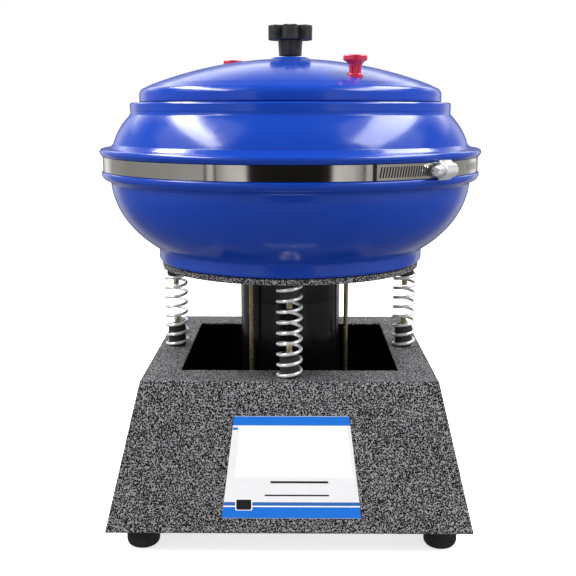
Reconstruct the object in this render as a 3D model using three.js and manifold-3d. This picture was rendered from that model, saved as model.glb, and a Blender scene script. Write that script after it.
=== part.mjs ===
// Vibratory rock tumbler: a two-piece bowl and its lid on a sprung platform, over a tapered sheet base.
// Millimetres, +Z up, origin on the floor under the bowl's axis, front of the machine towards -Y.
import * as THREE from "three";
import { mergeVertices } from "three/addons/utils/BufferGeometryUtils.js";
import Module from "manifold-3d";

const wasm = await Module();
wasm.setup();

// ---- driving dimensions ----
const CLEARANCE = 0.3; // between pieces that touch
const ROUND = 36; // facets round a large turned part
const SMALL_ROUND = 12; // facets round a fastener

// The feet stand a little to the right of the base's middle.
const FOOT = { spread: 122, across: 2, radius: 13.5, round: 6, height: 18.7, stud: 3, nut: 5.5, studTop: 31 };
const NUT_HEIGHT = 5;
const BASE = { bottomZ: 20.4, height: 118, top: 240, bottom: 294, sheet: 2, flange: 15 };
const WELL = { width: 181, depth: 174 }; // the opening in the base's top that the motor hangs in
const DECK = BASE.bottomZ + BASE.height; // height of the base's top face
const COVER = { size: 270, thickness: 1.4, slots: 7, slotLength: 90, slotWidth: 5, slotPitch: 16 };
const LABEL = { top: 92, bottom: 111, height: 81, thickness: 0.4, fromTop: 27.7, across: 2 };

const SPRING = { circle: 104.5, length: 76.8, meanRadius: 9.4, wire: 1.4, endTurns: 0.25, activeTurns: 8.25 };
const BUMPER = { radius: 7.5, bore: 2.9, lower: 19.5, upper: 12 };
const STUD = { radius: 2.5, head: 4.6, headHeight: 2.8, pastLower: 7, pastUpper: 8.8 };

const PLATE = { radius: 115, thickness: 5, z: SPRING.length };
const MOTOR = { radius: 45, wall: 3.5, capTop: PLATE.z, seam: 47.4, bottom: -57 };
const FLANGE = { radius: 57, top: MOTOR.bottom + 4 }; // round the foot of the motor
// The rods that hold the motor up, and where they stand round it in degrees from +X.
const TIE = { circle: 51.5, radius: 2, head: 3.6, headHeight: 2.4, nut: 3.2, past: 2 };
const TIE_STATIONS = { front: -131, right: -11, back: 109 };
const SHAFT = { radius: 6, top: 64, bottom: -90 };
const WEIGHT = { radius: 30, hub: 13, thickness: 10 };

const BOWL = {
  foot: 117.5, // radius of the ring that stands on the platform
  bottomZ: PLATE.z + PLATE.thickness + CLEARANCE,
  floorZ: 91,
  wall: 6,
  lipRadius: 165.4,
  neckRadius: 163, // behind the clamp band
  seamZ: 168, // where the lower and upper shells meet
};
const UPPER = { lipRadius: 166.9, beadRadius: 139.8, beadLow: 211.6, beadTop: 219.5, mouth: 118 };
const LID = { radius: 131.6, rimZ: 219.9, apexZ: 257.1, crown: 341, wall: 4 };
const BOSS = { radius: 15.5, top: 258.3, deep: 14 }; // in the middle of the lid, round the rod
const SPIGOT = { radius: UPPER.mouth - 1, wall: 2.6, deep: 8 }; // the lid's skirt inside the mouth
const GASKET = { inner: 118.5, outer: 128, seat: 1.3 }; // the lid's, in a seat this deep in its rim
const BAND = { inner: 163.3, thickness: 0.8, low: 162, high: 174.3 };
const TAIL = { from: 23, to: 53, slotPitch: 1.6, slotWidth: 1.3, margin: 2 }; // slotted end of the band
const SCREW_ANGLE = 45; // degrees round from the front towards +X
const ROD = { radius: 3, top: 270.8 };
const CONE = { topZ: 205, topRadius: 24, wall: 6 };
const KNOB = { radius: 19.9, valley: 13.2, lobes: 6, low: 259.6, head: 273.2, top: 285.2 };
const HUB = { low: 9.8, top: 10.7 }; // radii of the knob's hub
const INSERT = { radius: 5, low: 260.2, high: 271.6 }; // the knob's
const PLUG = { circle: 107, head: 9.4, neck: 4.9, hole: 6.4, height: 15.3 };
// Where the two plugs stand: degrees round from the front towards +X, and how far each is pulled up.
const PLUG_PLACES = { front: { bearing: 28.5, lift: 0 }, back: { bearing: 211.6, lift: 5.2 } };

// ---- materials ----
const material = (color, roughness, metalness = 0) =>
  new THREE.MeshStandardMaterial({ color, roughness, metalness });
const bluePlastic = material(0x1c4fc0, 0.35);
const hammertone = material(0x4a4a4e, 0.45, 0.6);
const chrome = material(0xe4e6ea, 0.12, 1);
const stainless = material(0xc9c3b8, 0.25, 1);
const yellowZinc = material(0xb59a4a, 0.35, 1);
const blackRubber = material(0x151515, 0.7);
const blackPlastic = material(0x1d1d1d, 0.4);
const motorBlack = material(0x0c0c0d, 0.15, 0.2);
const redAnodised = material(0xc4203c, 0.25, 1);
const plainSteel = material(0xb4b6b8, 0.3, 1);
const laminations = material(0x55565a, 0.5, 0.9);
const labelVinyl = material(0xf2f2f4, 0.4);

// ---- tools ----
const radians = THREE.MathUtils.degToRad;

// A point in plan, from its distance from the axis and its angle from +X.
const polar = (r, degrees) => new THREE.Vector2(r, 0).rotateAround(new THREE.Vector2(), radians(degrees));

// A solid for booleans, from a closed geometry.
function solid(geometry) {
  const bare = new THREE.BufferGeometry().setAttribute("position", geometry.getAttribute("position"));
  if (geometry.index) bare.setIndex(geometry.index);
  const merged = mergeVertices(bare, 1e-3);
  return new wasm.Manifold(
    new wasm.Mesh({
      numProp: 3,
      vertProperties: new Float32Array(merged.attributes.position.array),
      triVerts: new Uint32Array(merged.index.array),
    }),
  );
}

function geometryOf(manifold) {
  const { vertProperties, triVerts } = manifold.getMesh();
  return new THREE.BufferGeometry()
    .setAttribute("position", new THREE.BufferAttribute(new Float32Array(vertProperties), 3))
    .setIndex(new THREE.BufferAttribute(new Uint32Array(triVerts), 1));
}

const cut = (body, ...tools) =>
  geometryOf(tools.reduce((left, tool) => left.subtract(solid(tool)), solid(body)));
const join = (body, ...others) =>
  geometryOf(others.reduce((left, other) => left.add(solid(other)), solid(body)));

// Points of an elliptical arc in the (radius, height) plane, angles in degrees.
function arc(r, z, rx, rz, from, to, steps) {
  return new THREE.EllipseCurve(r, z, rx, rz, radians(from), radians(to), to < from).getPoints(steps);
}

// A turned piece from its section, given anticlockwise with the radius to the right and the height up.
// The section starts and ends on the axis, or is a ring's closed outline.
function turned(section, segments = ROUND) {
  const points = section.map((p) => (Array.isArray(p) ? new THREE.Vector2(...p) : p));
  if (points[0].x > 0) points.push(points[0].clone());
  return new THREE.LatheGeometry(points, segments).rotateX(Math.PI / 2);
}

// An upright round bar or hole between two heights.
const bar = (radius, low, high, segments = SMALL_ROUND) =>
  turned([[0, low], [radius, low], [radius, high], [0, high]], segments);

// A tube between two heights.
const tube = (inner, outer, low, high, segments = ROUND) =>
  turned([[inner, low], [outer, low], [outer, high], [inner, high]], segments);

const box = (x, y, z, dx, dy, dz) => new THREE.BoxGeometry(dx, dy, dz).translate(x, y, z);

// A flat outline, as a list of points or a shape, raised from one height to another.
function raised(outline, low, high) {
  const shape = outline instanceof THREE.Shape ? outline : new THREE.Shape(outline);
  return new THREE.ExtrudeGeometry(shape, { depth: high - low, bevelEnabled: false, curveSegments: 12 })
    .translate(0, 0, low);
}

// A square-based frustum between two heights, from its half widths.
function frustum(lowHalf, highHalf, low, high) {
  const corner = Math.SQRT2;
  return new THREE.CylinderGeometry(highHalf * corner, lowHalf * corner, high - low, 4)
    .rotateY(Math.PI / 4)
    .rotateX(Math.PI / 2)
    .translate(0, 0, (low + high) / 2);
}

const root = new THREE.Group();
const deck = new THREE.Group(); // heights in it count from the base's top face
deck.position.z = DECK;
root.add(deck);

function part(name, geometry, look, parent = deck) {
  const mesh = new THREE.Mesh(geometry, look);
  mesh.name = name;
  parent.add(mesh);
  return mesh;
}

// The four stations of the springs, and what a piece at each is called.
const STATIONS = { front: -90, right: 0, back: 90, left: 180 };
function atStation(geometry, degrees, circle = SPRING.circle) {
  const { x, y } = polar(circle, degrees);
  return geometry.clone().translate(x, y, 0);
}

// ---- base ----
const halfAt = (z) => (BASE.bottom + ((BASE.top - BASE.bottom) * z) / BASE.height) / 2;
const slope = Math.atan2((BASE.bottom - BASE.top) / 2, BASE.height); // of each side, from the vertical

// A group on a side of the base: x across, y up the slope, z out of the panel.
// The turn is 0 for the front and PI for the back.
function onPanel(height, across, turn) {
  const side = new THREE.Group();
  side.rotation.z = turn;
  const face = new THREE.Group();
  face.position.set(across, -halfAt(height), BASE.bottomZ + height);
  face.rotation.x = Math.PI / 2 - slope;
  side.add(face);
  root.add(side);
  side.updateMatrixWorld(true);
  return face;
}

const inlet = onPanel(42, -55, Math.PI);
const switchPlace = onPanel(42, 55, Math.PI);
const inPlace = (geometry, place) => geometry.clone().applyMatrix4(place.matrixWorld);

const INLET = { width: 27.6, height: 20, rim: 2, rimOver: 2, deep: 24, cavity: [24, 16.4, 20] };
const SWITCH = { width: 12.8, height: 19.2, rim: 1.8, rimOver: 1.2, deep: 18 };

function baseHousing() {
  const { sheet, height, flange } = BASE;
  const skin = sheet / Math.cos(slope);
  const outside = frustum(halfAt(0), halfAt(height), 0, height);
  const inside = frustum(halfAt(sheet) - skin, halfAt(height - sheet) - skin, sheet, height - sheet);
  const opening = box(0, 0, height, WELL.width, WELL.depth, 4 * sheet);
  const underside = box(0, 0, 0, BASE.bottom - 2 * flange - 60, BASE.bottom - 2 * flange - 60, 4 * sheet);
  const studHole = bar(BUMPER.bore, height - 5, height + 5);
  const studHoles = Object.values(STATIONS).map((degrees) => atStation(studHole, degrees));
  const footHoles = corners().map(([x, y]) => bar(FOOT.stud + 0.5, -5, 5).translate(x, y, 0));
  const lift = (geometry) => geometry.translate(0, 0, BASE.bottomZ);
  return cut(
    lift(outside),
    ...[inside, opening, underside, ...studHoles, ...footHoles].map(lift),
    inPlace(box(0, 0, 0, INLET.width + 0.6, INLET.height + 0.6, 12), inlet),
    inPlace(box(0, 0, 0, SWITCH.width + 0.6, SWITCH.height + 0.6, 12), switchPlace),
  );
}

function corners() {
  return [-1, 1].flatMap((y) => [-1, 1].map((x) => [x * FOOT.spread + FOOT.across, y * FOOT.spread]));
}

function bottomCover() {
  const low = BASE.bottomZ - COVER.thickness - 0.1;
  const sheet = box(0, 0, low + COVER.thickness / 2, COVER.size, COVER.size, COVER.thickness);
  const holes = corners().map(([x, y]) => bar(FOOT.stud + 0.5, low - 5, low + 5).translate(x, y, 0));
  const slots = Array.from({ length: COVER.slots }, (_, i) =>
    box(0, (i - (COVER.slots - 1) / 2) * COVER.slotPitch, low, COVER.slotLength, COVER.slotWidth, 10),
  );
  return cut(sheet, ...holes, ...slots);
}

// A rubber foot with its bonded stud, and the nut that holds it inside the base.
function foot() {
  const nutLow = BASE.bottomZ + BASE.sheet + CLEARANCE;
  return turned(
    [
      [0, 0],
      ...arc(FOOT.radius - FOOT.round, FOOT.round, FOOT.round, FOOT.round, -90, 0, 3),
      [FOOT.radius, FOOT.height],
      [FOOT.stud, FOOT.height],
      [FOOT.stud, nutLow],
      [FOOT.nut, nutLow],
      [FOOT.nut, nutLow + NUT_HEIGHT],
      [FOOT.stud, nutLow + NUT_HEIGHT],
      [FOOT.stud, FOOT.studTop],
      [0, FOOT.studTop],
    ],
    SMALL_ROUND,
  );
}

part("base_housing", baseHousing(), hammertone, root);
part("bottom_cover", bottomCover(), hammertone, root);
["front_left", "front_right", "back_left", "back_right"].forEach((place, i) => {
  const [x, y] = corners()[i];
  part(`foot_${place}`, foot().translate(x, y, 0), blackRubber, root);
});

function label() {
  const { top, bottom, height, thickness } = LABEL;
  const outline = [[-bottom / 2, -height], [bottom / 2, -height], [top / 2, 0], [-top / 2, 0]];
  return raised(outline.map((p) => new THREE.Vector2(...p)), CLEARANCE, CLEARANCE + thickness);
}
const labelTop = BASE.height - LABEL.fromTop * Math.cos(slope);
part("front_label", label(), labelVinyl, onPanel(labelTop, LABEL.across, 0));

// Appliance inlet: a flanged box with three blades standing in its socket.
function powerInlet() {
  const { width, height, rim, rimOver, deep, cavity } = INLET;
  const low = CLEARANCE;
  const body = join(
    box(0, 0, low + rim / 2, width + 2 * rimOver, height + 2 * rimOver, rim),
    box(0, 0, (low + rim - deep) / 2, width, height, deep + low + rim),
  );
  const socket = box(0, 0, low + rim - cavity[2] / 2, cavity[0], cavity[1], cavity[2] + 0.01);
  const floor = low + rim - cavity[2];
  const blade = (x, y) => box(x, y, floor + 5, 2, 4, 12);
  return join(cut(body, socket), blade(-7, -2), blade(0, 2), blade(7, -2));
}
part("power_inlet", powerInlet(), blackPlastic, inlet);

// Rocker switch: a bezel and body with a pocket, and the rocker on its pivot.
const POCKET = { width: 10.8, height: 17, deep: 9 };
const PIVOT = 3.2; // below the bezel's face
function switchBody() {
  const { width, height, rim, rimOver, deep } = SWITCH;
  const low = CLEARANCE;
  return cut(
    join(
      box(0, 0, low + rim / 2, width + 2 * rimOver, height + 2 * rimOver, rim),
      box(0, 0, (low + rim - deep) / 2, width, height, deep + low + rim),
    ),
    box(0, 0, low + rim - POCKET.deep / 2, POCKET.width, POCKET.height, POCKET.deep + 0.01),
  );
}
const ROCKER_TILT = 7; // degrees each way
function rocker() {
  const half = 7.4;
  const side = new THREE.Shape();
  side.moveTo(-half, 0.6);
  side.lineTo(-3, -3.2);
  side.lineTo(3, -3.2);
  side.lineTo(half, 0.6);
  side.lineTo(half, 3.8);
  side.quadraticCurveTo(0, 1.4, -half, 3.8);
  const long = new THREE.ExtrudeGeometry(side, { depth: 10, bevelEnabled: false, curveSegments: 6 });
  return long.translate(0, 0, -5).rotateY(Math.PI / 2).rotateX(Math.PI / 2).rotateX(radians(ROCKER_TILT));
}
part("switch_body", switchBody(), blackPlastic, switchPlace);
part("switch_rocker", rocker(), blackPlastic, switchPlace).position.z = CLEARANCE + SWITCH.rim - PIVOT;

// ---- springs, bumpers and their studs ----
class SpringLine extends THREE.Curve {
  getPoint(t) {
    const { endTurns, activeTurns, wire, length, meanRadius } = SPRING;
    const turns = 2 * endTurns + activeTurns;
    const closed = 2 * wire + 0.2; // pitch of the end turns
    const low = wire + 0.1;
    const rise = length - 2 * low - 2 * endTurns * closed;
    const turn = t * turns;
    const inActive = THREE.MathUtils.clamp(turn - endTurns, 0, activeTurns);
    const z = low + (turn - inActive) * closed + (inActive / activeTurns) * rise;
    const angle = (turn + 0.41) * 2 * Math.PI;
    return new THREE.Vector3(meanRadius * Math.cos(angle), meanRadius * Math.sin(angle), z);
  }
}

function spring() {
  const line = new SpringLine();
  const steps = 8 * Math.round(2 * SPRING.endTurns + SPRING.activeTurns);
  line.arcLengthDivisions = 4 * steps;
  const wire = new THREE.Shape(
    Array.from({ length: 4 }, (_, i) => {
      const a = (i * Math.PI) / 2;
      return new THREE.Vector2(SPRING.wire * Math.cos(a), SPRING.wire * Math.sin(a));
    }),
  );
  return new THREE.ExtrudeGeometry(wire, { steps, extrudePath: line, bevelEnabled: false });
}

const lowerBumper = tube(BUMPER.bore, BUMPER.radius, 0.1, BUMPER.lower, SMALL_ROUND);
const upperBumper = tube(BUMPER.bore, BUMPER.radius, PLATE.z - BUMPER.upper, PLATE.z - 0.1, SMALL_ROUND);

// A screw from its head's outer face to its tip, upright.
function stud(headZ, tipZ) {
  const down = Math.sign(tipZ - headZ);
  const section = [
    [0, headZ],
    [STUD.head, headZ],
    [STUD.head, headZ + down * STUD.headHeight],
    [STUD.radius, headZ + down * STUD.headHeight],
    [STUD.radius, tipZ],
    [0, tipZ],
  ];
  return turned(down > 0 ? section : section.reverse(), 10);
}
const lowerStud = stud(-BASE.sheet - STUD.headHeight - 0.1, BUMPER.lower + STUD.pastLower);
const plateTop = PLATE.z + PLATE.thickness;
const upperStud = stud(plateTop - 0.1, PLATE.z - BUMPER.upper - STUD.pastUpper);

for (const [place, degrees] of Object.entries(STATIONS)) {
  part(`lower_bumper_${place}`, atStation(lowerBumper, degrees), blackRubber);
  part(`lower_stud_${place}`, atStation(lowerStud, degrees), yellowZinc);
  part(`spring_${place}`, atStation(spring(), degrees), chrome);
  part(`upper_bumper_${place}`, atStation(upperBumper, degrees), blackRubber);
  part(`upper_stud_${place}`, atStation(upperStud, degrees), yellowZinc);
}

// ---- platform and motor ----
// A clearance hole through the platform with a recess for a flush head.
function recessed({ radius, head, headHeight }) {
  const play = 0.4;
  const section = [
    [0, PLATE.z - 1],
    [radius + play, PLATE.z - 1],
    [radius + play, plateTop - headHeight - play],
    [head + play, plateTop - headHeight - play],
    [head + play, plateTop + 1],
    [0, plateTop + 1],
  ];
  return turned(section, SMALL_ROUND);
}
function platformPlate() {
  const edge = 1;
  const disc = turned([
    [0, PLATE.z],
    [PLATE.radius - edge, PLATE.z],
    [PLATE.radius, PLATE.z + edge],
    [PLATE.radius, plateTop - edge],
    [PLATE.radius - edge, plateTop],
    [0, plateTop],
  ]);
  return cut(
    disc,
    bar(ROD.radius + CLEARANCE, PLATE.z + 2, plateTop + 1),
    ...Object.values(STATIONS).map((a) => atStation(recessed(STUD), a)),
    ...Object.values(TIE_STATIONS).map((a) => atStation(recessed(TIE), a, TIE.circle)),
  );
}
part("platform_plate", platformPlate(), hammertone);

const BEARING = { outer: 16, seat: 20, height: 9 };
function motorTopCap() {
  const top = MOTOR.capTop - 0.1;
  const roof = top - 10;
  const low = MOTOR.seam + CLEARANCE / 2;
  return turned(
    [
      [0, roof],
      [BEARING.outer + CLEARANCE, roof],
      [BEARING.outer + CLEARANCE, roof - BEARING.height],
      [BEARING.seat, roof - BEARING.height],
      [BEARING.seat, roof],
      [MOTOR.radius - MOTOR.wall, roof],
      [MOTOR.radius - MOTOR.wall, low],
      [MOTOR.radius, low],
      [MOTOR.radius, top],
      [0, top],
    ],
    32,
  );
}

function motorBottomCap() {
  const { radius, wall, bottom } = MOTOR;
  const floor = bottom + 6;
  const shell = turned(
    [
      [SHAFT.radius + 2, bottom],
      [FLANGE.radius, bottom],
      [FLANGE.radius, FLANGE.top],
      [radius, FLANGE.top],
      [radius, bottom + 11.7],
      [radius - wall, bottom + 11.7],
      [radius - wall, floor],
      [BEARING.seat, floor],
      [BEARING.seat, floor + BEARING.height],
      [BEARING.outer + CLEARANCE, floor + BEARING.height],
      [BEARING.outer + CLEARANCE, floor - 1],
      [SHAFT.radius + 2, floor - 1],
    ],
    32,
  );
  const hole = bar(TIE.radius + 0.4, bottom - 1, FLANGE.top + 1);
  return cut(shell, ...Object.values(TIE_STATIONS).map((a) => atStation(hole, a, TIE.circle)));
}

// A rod from its head, flush in the platform, to its nut under the motor's flange.
function tieRod() {
  const { radius, head, headHeight, past } = TIE;
  const top = plateTop - 0.1;
  const nutTop = MOTOR.bottom - 0.1;
  const nutLow = nutTop - TIE.nut;
  const section = [
    [0, nutLow - past],
    [radius, nutLow - past],
    [radius, nutLow],
    [head, nutLow],
    [head, nutTop],
    [radius, nutTop],
    [radius, top - headHeight],
    [head, top - headHeight],
    [head, top],
    [0, top],
  ];
  return turned(section, 10);
}

// An eccentric weight: a hub with a half disc on one side.
function eccentric(low, turn) {
  const outline = new THREE.Shape();
  outline.absarc(0, 0, WEIGHT.radius, -Math.PI / 2, Math.PI / 2, false);
  outline.absarc(0, 0, WEIGHT.hub, Math.PI / 2, (3 * Math.PI) / 2, false);
  const disc = raised(outline, low, low + WEIGHT.thickness);
  return cut(disc, bar(SHAFT.radius + CLEARANCE, low - 1, low + 20)).rotateZ(turn);
}

part("motor_top_cap", motorTopCap(), motorBlack);
part(
  "motor_housing",
  tube(MOTOR.radius - MOTOR.wall, MOTOR.radius, MOTOR.bottom + 12, MOTOR.seam - CLEARANCE / 2, 32),
  motorBlack,
);
part("motor_bottom_cap", motorBottomCap(), motorBlack);
const stack = { low: -30, high: 38 }; // the laminations
part("stator", tube(26, MOTOR.radius - MOTOR.wall - CLEARANCE, stack.low, stack.high, 24), laminations);
const ring = (low) => tube(SHAFT.radius + CLEARANCE, BEARING.outer, low, low + BEARING.height - 0.6, 16);
part("upper_bearing", ring(MOTOR.capTop - 10.1 - BEARING.height + 0.3), plainSteel);
part("lower_bearing", ring(MOTOR.bottom + 5.3), plainSteel);
part("motor_shaft", bar(SHAFT.radius, SHAFT.bottom, SHAFT.top), plainSteel);
part("rotor_core", tube(SHAFT.radius + CLEARANCE, 25.2, stack.low, stack.high, 24), laminations);
part("eccentric_weight_upper", eccentric(-74, 0), plainSteel);
part("eccentric_weight_lower", eccentric(-87, radians(30)), plainSteel);
for (const [place, degrees] of Object.entries(TIE_STATIONS)) {
  part(`tie_rod_${place}`, atStation(tieRod(), degrees, TIE.circle), yellowZinc);
}

// ---- bowl ----
// The lower shell: a foot ring, a round channel, a hollow cone up the middle, and half of the clamped lip.
function bowlLower() {
  const { foot, bottomZ, floorZ, lipRadius, neckRadius, seamZ, wall } = BOWL;
  const channel = { r: 48.6, z: 156, a: 109.3, b: 80 }; // ellipse of the outer wall
  const trough = { r: 62, a: 18, b: 16 }; // ellipse of the inner wall where it turns up into the cone
  return turned([
    [44, bottomZ],
    [foot - 3.5, bottomZ],
    [foot - 1, bottomZ + 1],
    [foot, bottomZ + 2.6],
    [foot, bottomZ + 11],
    ...arc(channel.r, channel.z, channel.a, channel.b, -50, -3, 7),
    ...arc(lipRadius - 7, BAND.low - 2, 7, 6.5, -80, 0, 3),
    [lipRadius, BAND.low - 1.2],
    [lipRadius - 1, BAND.low - CLEARANCE],
    [neckRadius, BAND.low - CLEARANCE],
    [neckRadius, seamZ - 0.6],
    [channel.r + channel.a - wall, seamZ - 0.6],
    ...arc(channel.r, channel.z, channel.a - wall, channel.z - floorZ, -2, -80, 6),
    ...arc(trough.r, floorZ + trough.b, trough.a, trough.b, -90, -150, 3),
    ...arc(80, CONE.topZ - 14, 80 - CONE.topRadius, 80, 195, 180, 2),
    [CONE.topRadius, CONE.topZ - 3],
    [CONE.topRadius - 3, CONE.topZ],
    [ROD.radius + 1, CONE.topZ],
    [ROD.radius + 1, CONE.topZ - CONE.wall],
    [CONE.topRadius - CONE.wall, CONE.topZ - CONE.wall],
  ]);
}

// The upper shell: the other half of the lip, a wall that leans in, and the bead round its mouth.
function bowlUpper() {
  const { lipRadius, beadRadius, beadLow, beadTop, mouth } = UPPER;
  const { neckRadius, seamZ, wall } = BOWL;
  const lean = { r: 87.2, z: 170, a: 70, b: 60 }; // ellipse of the outer wall
  return turned([
    [neckRadius, seamZ + 0.6],
    [neckRadius, BAND.high + CLEARANCE],
    [lipRadius - 2, BAND.high + CLEARANCE],
    ...arc(lipRadius - 3, 178.2, 3, 2.8, -40, 80, 3),
    [158.6, 181.6],
    ...arc(lean.r, lean.z, lean.a, lean.b, 14, 41, 5),
    [beadRadius - 0.4, beadLow],
    [beadRadius, beadLow + 0.6],
    ...arc(beadRadius - 1.2, beadTop - 1.2, 1.2, 1.2, 0, 90, 2),
    [mouth, beadTop],
    [mouth, beadTop - 9],
    ...arc(lean.r, lean.z, lean.a - wall, lean.b - wall - 2, 45, 4, 4),
    [lean.r + lean.a - wall, seamZ + 0.6],
  ]);
}

part("bowl_lower", bowlLower(), bluePlastic);
part("bowl_upper", bowlUpper(), bluePlastic);
part("bowl_gasket", tube(154, 162, BOWL.seamZ - 0.5, BOWL.seamZ + 0.5), blackRubber);

// The worm-drive clamp's band, with its slotted tail lapped over the outside.
function clampBand() {
  const { inner, thickness, low, high } = BAND;
  const outer = inner + thickness;
  const reach = 2 * outer;
  const wedge = [new THREE.Vector2(), polar(reach, TAIL.from - 90), polar(reach, TAIL.to - 90)];
  const sector = raised(wedge, low, high);
  const lap = tube(inner + thickness / 2, outer + thickness, low, high);
  const tail = geometryOf(solid(lap).intersect(solid(sector)));
  const slots = [];
  for (let degrees = TAIL.from + 2; degrees < SCREW_ANGLE - 5; degrees += TAIL.slotPitch) {
    const slotHeight = high - low - 2 * TAIL.margin;
    const slot = box(0, -(outer + thickness), (low + high) / 2, TAIL.slotWidth, thickness, slotHeight);
    slots.push(slot.rotateZ(radians(degrees)));
  }
  return cut(join(tube(inner, outer, low, high), tail), ...slots);
}
part("clamp_band", clampBand(), stainless);

// The worm's housing and screw stand on the tail: x along the band, y up, z outwards.
const clampPlace = new THREE.Group();
const clampRadius = BAND.inner + 2 * BAND.thickness + CLEARANCE;
const clampBearing = radians(SCREW_ANGLE);
clampPlace.position.set(
  clampRadius * Math.sin(clampBearing),
  -clampRadius * Math.cos(clampBearing),
  (BAND.low + BAND.high) / 2,
);
clampPlace.rotation.order = "ZXY";
clampPlace.rotation.set(Math.PI / 2, 0, clampBearing);
deck.add(clampPlace);

const WORM = { radius: 3.7, height: 5.4, length: 13, headFlats: 7, headLength: 5 };
const HOUSING = { foot: 5.4, footLow: 0.4, footTop: 2.7, wing: 7.6, wingTop: 3.6, hood: 5.6, length: 15 };
function clampHousing() {
  const { foot, footLow, footTop, wing, wingTop, hood, length } = HOUSING;
  const saddle = new THREE.Shape();
  saddle.moveTo(-foot, footLow);
  saddle.lineTo(foot, footLow);
  saddle.lineTo(foot, footTop);
  saddle.lineTo(wing, footTop);
  saddle.lineTo(wing, wingTop);
  saddle.absarc(0, WORM.height, hood, 0, Math.PI, false);
  saddle.lineTo(-wing, wingTop);
  saddle.lineTo(-wing, footTop);
  saddle.lineTo(-foot, footTop);
  const body = new THREE.ExtrudeGeometry(saddle, { depth: length, bevelEnabled: false, curveSegments: 8 });
  const bore = new THREE.CylinderGeometry(WORM.radius + 0.5, WORM.radius + 0.5, 40, SMALL_ROUND);
  return cut(
    body.translate(0, 0, -length / 2).rotateY(Math.PI / 2).rotateX(Math.PI / 2),
    bore.rotateZ(Math.PI / 2).translate(0, 0, WORM.height),
  );
}
function clampScrew() {
  const along = (radius, from, to, segments) => {
    const upright = new THREE.CylinderGeometry(radius, radius, to - from, segments);
    return upright.rotateZ(Math.PI / 2).translate((from + to) / 2, 0, 0);
  };
  const half = WORM.length / 2;
  return join(
    along(WORM.radius, -half, half, SMALL_ROUND),
    along(WORM.radius - 0.8, -half - 2.5, -half + 1, SMALL_ROUND),
    along(WORM.radius + 1, -half - 3.4, -half - 2.2, SMALL_ROUND),
    along(WORM.headFlats / Math.sqrt(3), -half - 3.4 - WORM.headLength, -half - 3, 6),
  );
}
part("clamp_housing", clampHousing(), stainless, clampPlace);
part("clamp_screw", clampScrew(), stainless, clampPlace).position.z = WORM.height;

// ---- centre rod and its nut ----
part("centre_rod", bar(ROD.radius, PLATE.z + 2.1, ROD.top), plainSteel);
part("bowl_washer", tube(ROD.radius + CLEARANCE, 10, CONE.topZ + 0.1, CONE.topZ + 1.7, 16), plainSteel);
const nutLow = CONE.topZ + 1.8;
const nut = cut(bar(5.8, nutLow, nutLow + 5.2, 6), bar(ROD.radius + CLEARANCE, nutLow - 1, nutLow + 6));
part("bowl_nut", nut, plainSteel);

// ---- lid ----
function lid() {
  const { radius, rimZ, apexZ, crown, wall } = LID;
  const drop = (r, offset) => apexZ - crown + Math.sqrt((crown - offset) ** 2 - r * r);
  const crowned = (from, to, steps, offset) =>
    Array.from({ length: steps + 1 }, (_, i) => {
      const r = from + ((to - from) * i) / steps;
      return [r, drop(r, offset)];
    });
  const skirt = SPIGOT.radius - SPIGOT.wall;
  const socket = drop(0, wall) - BOSS.deep;
  const plan = turned([
    [skirt, rimZ - SPIGOT.deep],
    [SPIGOT.radius, rimZ - SPIGOT.deep],
    [SPIGOT.radius, rimZ + GASKET.seat],
    [GASKET.outer + 0.6, rimZ + GASKET.seat],
    [GASKET.outer + 0.6, rimZ],
    [radius, rimZ],
    ...arc(radius - 8, rimZ + 6.4, 8, 6.4, 0, 70, 3),
    ...crowned(121, BOSS.radius + 2, 5, 0),
    [BOSS.radius, BOSS.top],
    [ROD.radius + 1, BOSS.top],
    [ROD.radius + 1, socket],
    [BOSS.radius - 2.5, socket],
    ...crowned(BOSS.radius - 2.5, skirt, 4, wall),
  ]);
  const hole = bar(PLUG.hole, rimZ, apexZ, 14);
  return cut(plan, ...Object.values(PLUG_PLACES).map((place) => atPlug(hole, place.bearing)));
}

function atPlug(geometry, bearing) {
  return atStation(geometry, bearing - 90, PLUG.circle);
}

// A turned plug: a flared head on a waisted neck, with a split shank below the lid.
function ventPlug() {
  const seat = LID.apexZ - LID.crown + Math.sqrt(LID.crown ** 2 - PLUG.circle ** 2);
  const { head, neck, hole, height } = PLUG;
  const body = turned(
    [
      [0, seat - 12],
      [neck, seat - 12],
      [hole - 0.6, seat - 9],
      [hole - 0.6, seat - 3],
      [neck, seat - 2],
      [neck, seat + 5.5],
      ...arc(head - 0.4, seat + 5.5, head - 0.4 - neck, 5.4, 180, 110, 3),
      [head, seat + 11.4],
      [head, seat + height - 0.5],
      [head - 0.5, seat + height],
      [0, seat + height],
    ],
    16,
  );
  return cut(body, box(0, 0, seat - 12, 1.4, 40, 18), box(0, 0, seat - 12, 40, 1.4, 18));
}

part("lid", lid(), bluePlastic);
const gasketTop = LID.rimZ + GASKET.seat - CLEARANCE;
part("lid_gasket", tube(GASKET.inner, GASKET.outer, UPPER.beadTop + CLEARANCE, gasketTop), blackRubber);
for (const [place, { bearing, lift }] of Object.entries(PLUG_PLACES)) {
  part(`vent_plug_${place}`, atPlug(ventPlug().translate(0, 0, lift), bearing), redAnodised);
}

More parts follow.
